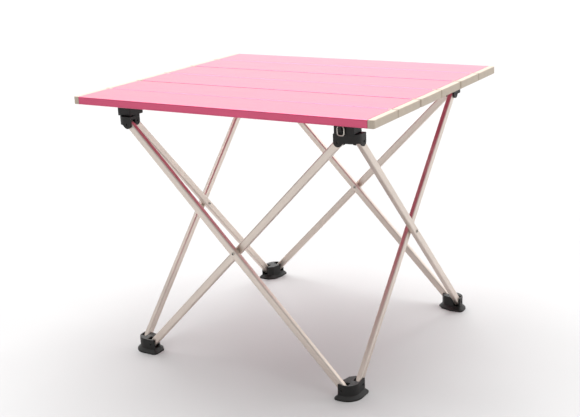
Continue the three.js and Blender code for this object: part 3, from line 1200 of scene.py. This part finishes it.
    def foot_slot_end(self) -> float:
        """How far a foot's slots run, so that their far corners stay inside the round."""
        reach = self.foot_corner - self.slot_end_wall
        side = self.foot_corner - self.wall
        round_middle = self.inner_plane + self.arm_half - self.foot_corner
        return round_middle + math.sqrt(reach**2 - side**2)

    def shape_foot(self) -> Piece:
        """The foot of the back right corner, from its flange up.

        Returns:
            The foot.
        """
        lo, hi, pin = self.foot.lo, self.foot.hi, self.foot_pin
        top = lo.z + self.flange_height
        foot = block("foot_model", lo, (hi.x, hi.y, top))
        for way in self.knee_ways:
            knee = (pin.y - self.knee[0], pin.y - self.knee[1], 0)
            trim(foot, knee, Vector((*way, 0)).normalized())

        def on_outside(mid: Vector) -> tuple[bool, bool]:
            """Whether a point lies on the right-hand side, and on the back."""
            return mid.x > hi.x - NEAR, mid.y > hi.y - NEAR

        def on_arm_end(mid: Vector) -> bool:
            """Whether a point is at the outer corner of an arm's end."""
            right, back = on_outside(mid)
            at_left = mid.x < self.arm_end - self.flange + NEAR
            return (at_left and back) or (mid.y < lo.y + NEAR and right)

        pick_edges(foot, lambda mid, way: abs(way.z) > ALONG and all(on_outside(mid)))
        round_picked(self.foot_corner + self.flange, 14)
        pick_edges(foot, lambda mid, way: abs(way.z) > ALONG and on_arm_end(mid))
        round_picked(self.flange + MM, 5)
        pick_faces(foot, lambda mid, normal: normal.z > ALONG)
        bpy.ops.mesh.inset(thickness=self.flange, depth=self.flare)
        rise = hi.z - top - self.flare
        bpy.ops.mesh.extrude_region_move(TRANSFORM_OT_translate={"value": (0, 0, rise)})
        bpy.ops.object.mode_set(mode="OBJECT")
        clean(foot)
        planes = (self.outer_plane, self.inner_plane)
        self.cut_legs_in(foot, planes, self.foot_slot_end(), self.slot_floor, hi.z + MM)
        self.drill_pins(foot, planes, pin.y, pin.z)
        return soften(foot, self.edge)

    def build(self, corner: Corner, models: dict[str, Piece]) -> None:
        """Puts the hub and foot of one corner in place and darkens their pins.

        Args:
            corner: The corner.
            models: The hub and the foot that are copied.
        """
        for kind, model in models.items():
            node = f"{kind}_{corner.label}"
            made = placed_copy(model, f"{node}_moulding", corner.turn(self.middle))
            hand_over(made, BLACK, node, node)
            for leg in ("inner", "outer"):
                dress(frame["nodes"][f"{kind}_pin_{corner.label}_{leg}"], BLACKENED)


@dataclass
class Clips:
    """The clips under the top, each with a wire ring and two screws.

    Attributes:
        middle: The middle of the frame on the floor.
        corner: The radius on a clip's upright edges.
        lower_edge: The radius on the lower edge of its outer end.
        edge: The radius on its other edges.
        face: How far its outer face is inside the ring's axis.
        keeper_half: Half the width of the block that holds the ring.
        keeper_below: How far that block reaches below the axis.
        keeper_above: How far it reaches above it.
        keeper_slope: The slope at its lower outer edge.
        wire_hole: The radius of the hole for the ring.
        well: The radius of the well for a screw.
        well_depth: How deep the well is.
        screw_seat: How far above the clip's underside the screw's head is seated.
        screw_inset: How far a screw is from the clip's end.
        screw_head: The radius of its head.
        screw_rim: The height of the head's rim.
        dome: How far in from the rim the head's dome reaches, and how far it rises.
        cross: Half the length and half the width of each slot of the cross.
        cross_depth: How far below the seat those slots stop.
        screw_edge: The radius on the screw's edges.
        wire: The radius of the ring's wire.
        ring_bend: The radius of the ring's corners, on the wire's middle.
    """

    middle: Vector
    corner: float = 1.2 * MM
    lower_edge: float = 1.4 * MM
    edge: float = 0.3 * MM
    face: float = 1.7 * MM
    keeper_half: float = 1.9 * MM
    keeper_below: float = 6.8 * MM
    keeper_above: float = 2.3 * MM
    keeper_slope: float = 2.4 * MM
    wire_hole: float = 1.3 * MM
    well: float = 3 * MM
    well_depth: float = 6 * MM
    screw_seat: float = 5.9 * MM
    screw_inset: float = 5 * MM
    screw_head: float = 2.6 * MM
    screw_rim: float = 1.6 * MM
    dome: tuple[float, float] = (0.9 * MM, 0.5 * MM)
    cross: tuple[float, float] = (1.5 * MM, 0.35 * MM)
    cross_depth: float = 1.3 * MM
    screw_edge: float = 0.1 * MM
    wire: float = 0.8 * MM
    ring_bend: float = 2.6 * MM

    def __post_init__(self) -> None:
        """Reads the places of the back right clip from the frame."""
        self.box = Box.of("top_clip_back_right", self.middle)
        self.ring = Box.of("wire_ring_back_right", self.middle)
        self.pin = joint_point("ring_back_right_swing", self.middle)
        face = self.pin.x - self.face
        rows = (self.box.lo.y + self.screw_inset, self.box.hi.y - self.screw_inset)
        self.outer = face
        self.screws = [((self.box.lo.x + face) / 2, y) for y in rows]

    def shape_clip(self) -> Piece:
        """The clip of the back right corner, with the keeper of its ring.

        Returns:
            The clip.
        """
        lo, hi, pin = self.box.lo, self.box.hi, self.pin
        clip = block("clip_model", lo, (self.outer, hi.y, hi.z))
        pick_edges(clip, lambda mid, way: abs(way.z) > ALONG)
        round_picked(self.corner, 4)
        pick_edges(
            clip,
            lambda mid, way: abs(way.x) > ALONG and mid.z < lo.z + NEAR and mid.y > hi.y - NEAR,
        )
        round_picked(self.lower_edge, 3)
        keeper = block(
            "keeper",
            (self.outer - MM, pin.y - self.keeper_half, pin.z - self.keeper_below),
            (hi.x, pin.y + self.keeper_half, pin.z + self.keeper_above),
        )
        pick_edges(
            keeper, lambda mid, way: abs(way.y) > ALONG and mid.x > hi.x - NEAR and mid.z < pin.z
        )
        round_picked(self.keeper_slope, 1)
        combine(clip, keeper, "UNION")
        reach = Vector((0, self.keeper_half + MM, 0))
        combine(clip, rod("wire_hole", pin - reach, pin + reach, self.wire_hole, 20))
        for x, y in self.screws:
            end = lo.z + self.well_depth
            combine(clip, rod("well", (x, y, lo.z - MM), (x, y, end), self.well, 20))
        return soften(clip, self.edge)

    def shape_screw(self) -> Piece:
        """A cross-head screw that looks down out of a clip.

        Returns:
            The screw, with the seat of its head at the origin.
        """
        screw = rod("screw_model", (0, 0, -self.screw_rim), (0, 0, 0), self.screw_head, 24)
        pick_faces(screw, lambda mid, normal: normal.z < -ALONG)
        bpy.ops.mesh.inset(thickness=self.dome[0], depth=self.dome[1])
        bpy.ops.object.mode_set(mode="OBJECT")
        low = -self.screw_rim - self.dome[1] - MM
        for x, y in (self.cross, self.cross[::-1]):
            combine(screw, block("cross", (-x, -y, low), (x, y, -self.cross_depth)))
        return soften(screw, self.screw_edge)

    def shape_ring(self) -> Piece:
        """The bent wire ring of the back right corner.

        Returns:
            The ring.
        """
        size = self.ring.size
        bpy.ops.object.select_all(action="DESELECT")
        bpy.ops.mesh.primitive_plane_add(
            size=1, location=self.ring.mid, rotation=(0, math.pi / 2, 0)
        )
        ring = bpy.context.object
        ring.name = "ring_model"
        ring.scale = (size.z - 2 * self.wire, size.y - 2 * self.wire, 1)
        with editing(settle(ring)):
            bpy.ops.mesh.bevel(offset=self.ring_bend, segments=6, affect="VERTICES")
            bpy.ops.mesh.select_all(action="SELECT")
            bpy.ops.mesh.delete(type="ONLY_FACE")
        bpy.ops.object.convert(target="CURVE")
        ring = bpy.context.object
        ring.data.bevel_depth = self.wire
        ring.data.bevel_resolution = 3
        bpy.ops.object.convert(target="MESH")
        ring = bpy.context.object
        bpy.ops.object.shade_smooth_by_angle(angle=ROUND_CREASE)
        return ring

    def build(self, corner: Corner, clip: Piece, ring: Piece, screw: Piece) -> None:
        """Puts the clip, the ring and the screws of one corner in place.

        Args:
            corner: The corner.
            clip: The clip that is copied.
            ring: The ring that is copied.
            screw: The screw that is copied.
        """
        turn = corner.turn(self.middle)
        node = f"top_clip_{corner.label}"
        hand_over(placed_copy(clip, f"{node}_moulding", turn), BLACK, corner.section, node)
        node = f"wire_ring_{corner.label}"
        hand_over(placed_copy(ring, f"{node}_bent", turn), STEEL, node, node)
        for number, (x, y) in enumerate(self.screws, 1):
            place = turn @ Matrix.Translation((x, y, self.box.lo.z + self.screw_seat))
            made = placed_copy(screw, f"clip_screw_{corner.label}_{number}", place)
            hand_over(made, STEEL, corner.section)


def build_corners(middle: Vector) -> None:
    """Builds the hubs, feet, clips, rings and screws of all four corners.

    Args:
        middle: The middle of the frame on the floor.
    """
    mouldings, clips = CornerMouldings(middle), Clips(middle)
    models = {"hub": mouldings.shape_hub(), "foot": mouldings.shape_foot()}
    fittings = (clips.shape_clip(), clips.shape_ring(), clips.shape_screw())
    for corner in Corner:
        mouldings.build(corner, models)
        clips.build(corner, *fittings)
    discard(*models.values(), *fittings)


# ---------------------------------------------------------------- the studio


@dataclass
class Studio:
    """The floor, the light and the camera.

    Attributes:
        lens: The camera's focal length in millimetres, for a 36 mm frame.
        sensor: The width of that frame.
        azimuth: How far round to the right of the front the camera stands, in degrees.
        elevation: How far down it looks, in degrees.
        roll: How far it leans, in degrees.
        shift: How far the frame is shifted, as a share of its width.
        eye: Where the camera stands.
        overhead: The strength of the light from above.
        overhead_from: The side that it comes from.
        softness: How wide that light looks from the table, in degrees.
        fill_from: The Y of the directions, from -1 to 1, where the sky is dimmest and brightest.
        fill: How bright it is at those two.
        floor_size: The floor's width.
        floor_tones: The darkest and the lightest grey of the floor.
    """

    lens: float = 65.0
    sensor: float = 36.0
    azimuth: float = 30.234
    elevation: float = 16.264
    roll: float = -2.211
    shift: tuple[float, float] = (-0.0374, -0.0190)
    eye: Triple = (0.6562, -1.0888, 0.5460)
    overhead: float = 4.2
    overhead_from: Triple = (-0.5, 0.8, 2)
    softness: float = 70.0
    fill_from: tuple[float, float] = (-0.2, 0.9)
    fill: tuple[float, float] = (0.5, 1.3)
    floor_size: float = 12
    floor_tones: tuple[float, float] = (0.50, 0.53)

    def place_camera(self) -> None:
        """Puts the camera where it sees the front and the right-hand side."""
        az, el, roll = (math.radians(x) for x in (self.azimuth, self.elevation, self.roll))
        ahead = Vector(
            (-math.sin(az) * math.cos(el), math.cos(az) * math.cos(el), -math.sin(el))
        )
        right = ahead.cross(Vector((0, 0, 1))).normalized()
        up = right.cross(ahead)
        across = math.cos(roll) * right + math.sin(roll) * up
        upward = -math.sin(roll) * right + math.cos(roll) * up
        turn = Matrix((across, upward, -ahead)).transposed().to_4x4()
        bpy.ops.object.camera_add()
        camera = bpy.context.object
        camera.name = "camera"
        camera.matrix_world = Matrix.Translation(self.eye) @ turn
        camera.data.lens = self.lens
        camera.data.sensor_width = self.sensor
        camera.data.shift_x, camera.data.shift_y = self.shift
        bpy.context.scene.camera = camera

    def lay_floor(self) -> None:
        """Lays a plain pale floor."""
        bpy.ops.mesh.primitive_plane_add(size=self.floor_size, location=(0, 0, 0))
        floor = bpy.context.object
        floor.name = "floor"
        graph = Graph(bpy.data.materials.new("floor_paper"))
        cloud = graph.noise(graph.place((3, 3, 3)), detail=2)
        dark, light = ((tone,) * 3 for tone in self.floor_tones)
        graph.feed(graph.shader, {"Base Color": graph.tint(cloud, dark, light)})
        graph.shader.inputs["Roughness"].default_value = 0.9
        floor.data.materials.append(graph.owner)

    def hang_light(self) -> None:
        """Adds one wide soft light from above, a little from behind and the left."""
        bpy.ops.object.light_add(type="SUN", location=self.overhead_from)
        light = bpy.context.object
        light.name = "overhead"
        light.data.energy = self.overhead
        light.data.angle = math.radians(self.softness)
        light.rotation_mode = "QUATERNION"
        light.rotation_quaternion = (-light.location).to_track_quat("-Z", "Y")

    def fill_world(self) -> None:
        """Surrounds the table with soft light, brighter behind it, and shows it as white."""
        world = bpy.data.worlds.new("studio")
        bpy.context.scene.world = world
        graph = Graph(world)
        white = (1, 1, 1, 1)
        where = graph.node("ShaderNodeTexCoord").outputs["Generated"]
        back = graph.node("ShaderNodeSeparateXYZ", {0: where}).outputs["Y"]
        (near, far), (dim, bright) = self.fill_from, self.fill
        span = {"Value": back, "From Min": near, "From Max": far, "To Min": dim, "To Max": bright}
        strength = graph.node("ShaderNodeMapRange", span).outputs["Result"]
        graph.feed(graph.shader, {"Strength": strength, "Color": white})
        seen = graph.node("ShaderNodeBackground", {"Color": white, "Strength": 1.0}).outputs[0]
        camera_ray = graph.node("ShaderNodeLightPath").outputs["Is Camera Ray"]
        both = {0: camera_ray, 1: graph.shader.outputs[0], 2: seen}
        mixed = graph.node("ShaderNodeMixShader", both).outputs[0]
        graph.feed(graph.output, {"Surface": mixed})

    def build(self) -> None:
        """Builds the whole studio."""
        self.place_camera()
        self.lay_floor()
        self.fill_world()
        self.hang_light()
        bpy.context.scene.view_settings.view_transform = "Standard"


def main() -> None:
    """Builds the studio and then the table, from the top down."""
    logging.basicConfig(level=logging.INFO, format="%(name)s: %(message)s")
    Studio().build()
    for section in (
        Section("front", ("slat_1", "slat_2"), False, True),
        Section("middle", ("slat_3", "slat_4"), True, True),
        Section("back", ("slat_5", "slat_6"), True, False),
    ):
        section.build()
    for hand in ("right", "left"):
        ElasticCord(hand).build()
    middle = frame_middle()
    Legs(middle).build()
    build_corners(middle)


if __name__ == "__main__":
    main()
